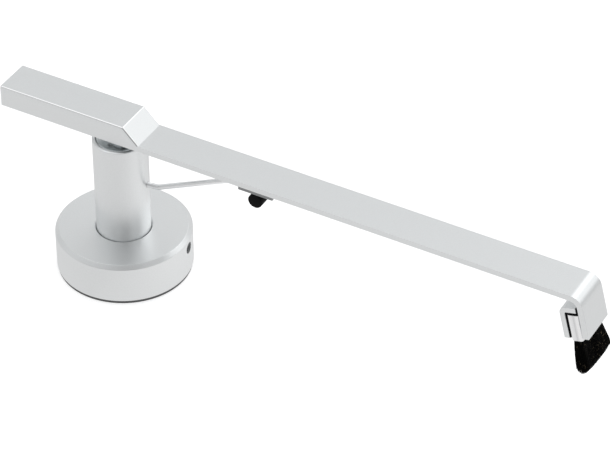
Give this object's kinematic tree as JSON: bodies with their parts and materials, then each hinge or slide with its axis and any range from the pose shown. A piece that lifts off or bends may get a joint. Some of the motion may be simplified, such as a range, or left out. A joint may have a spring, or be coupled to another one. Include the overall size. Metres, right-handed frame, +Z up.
{
  "type": "record cleaning arm",
  "caption": "Free-standing arm that holds a soft brush on a turning record: round foot, sliding column, swivelling and tilting strip arm, and a wire rest.",
  "frame": {"origin": "centre of the foot pad's underside, on the column's axis", "axes": "+Z up along the column, +X along the parked arm towards the brush, +Y to the side where the rest wire stands out"},
  "size_m": [0.2336, 0.05, 0.0674],
  "materials": {
    "satin_aluminium": "fine bead-blasted and clear anodised, satin",
    "turned_aluminium": "turned, with fine rings, semi-bright",
    "dark_steel": "dark grey, dull",
    "bright_steel": "drawn stainless, satin",
    "bronze": "sintered, dull",
    "chrome": "bright plated",
    "black_rubber": "matt",
    "black_plastic": "matt",
    "bristle": "soft black filament"
  },
  "bodies": {
    "base": {"foot_pad": "black_rubber", "base_disc": "satin_aluminium"},
    "lock_screw": {"height_lock_screw": "dark_steel"},
    "column": {"column": "satin_aluminium", "upper_bush": "bronze", "lower_bush": "bronze", "thrust_washer": "black_plastic", "rest_wire": "bright_steel", "rest_sleeve": "black_rubber"},
    "swivel": {"swivel_head": "turned_aluminium", "spindle": "bright_steel", "clip_washer": "bright_steel", "spindle_clip": "dark_steel"},
    "arm": {"tilt_axle": "bright_steel", "axle_washer_near": "black_plastic", "axle_washer_far": "black_plastic", "arm_strip": "satin_aluminium", "rear_block": "satin_aluminium", "block_screw_front": "bright_steel", "block_screw_rear": "bright_steel", "rest_plate": "dark_steel", "brush_clip": "satin_aluminium", "clip_bond": "black_rubber", "ferrule_liner": "black_rubber", "brush_ferrule": "chrome", "brush_core": "black_plastic", "bristles": "bristle"}
  },
  "joints": [
    {"name": "height_slide", "type": "slide", "parent": "base", "child": "column", "axis": [0, 0, 1], "range_m": [0, 0.007]},
    {"name": "lock_screw_turn", "type": "hinge", "parent": "base", "child": "lock_screw", "pos_m": [0.01513, 0.00286, 0.01214], "axis": [0.9826, 0.1857, 0], "range_deg": [0, 360]},
    {"name": "arm_swivel", "type": "hinge", "parent": "column", "child": "swivel", "pos_m": [0, 0, 0.055], "axis": [0, 0, 1], "continuous": true},
    {"name": "arm_tilt", "type": "hinge", "parent": "swivel", "child": "arm", "pos_m": [0, 0, 0.0639], "axis": [0, -1, 0], "range_deg": [0, 10]}
  ]
}
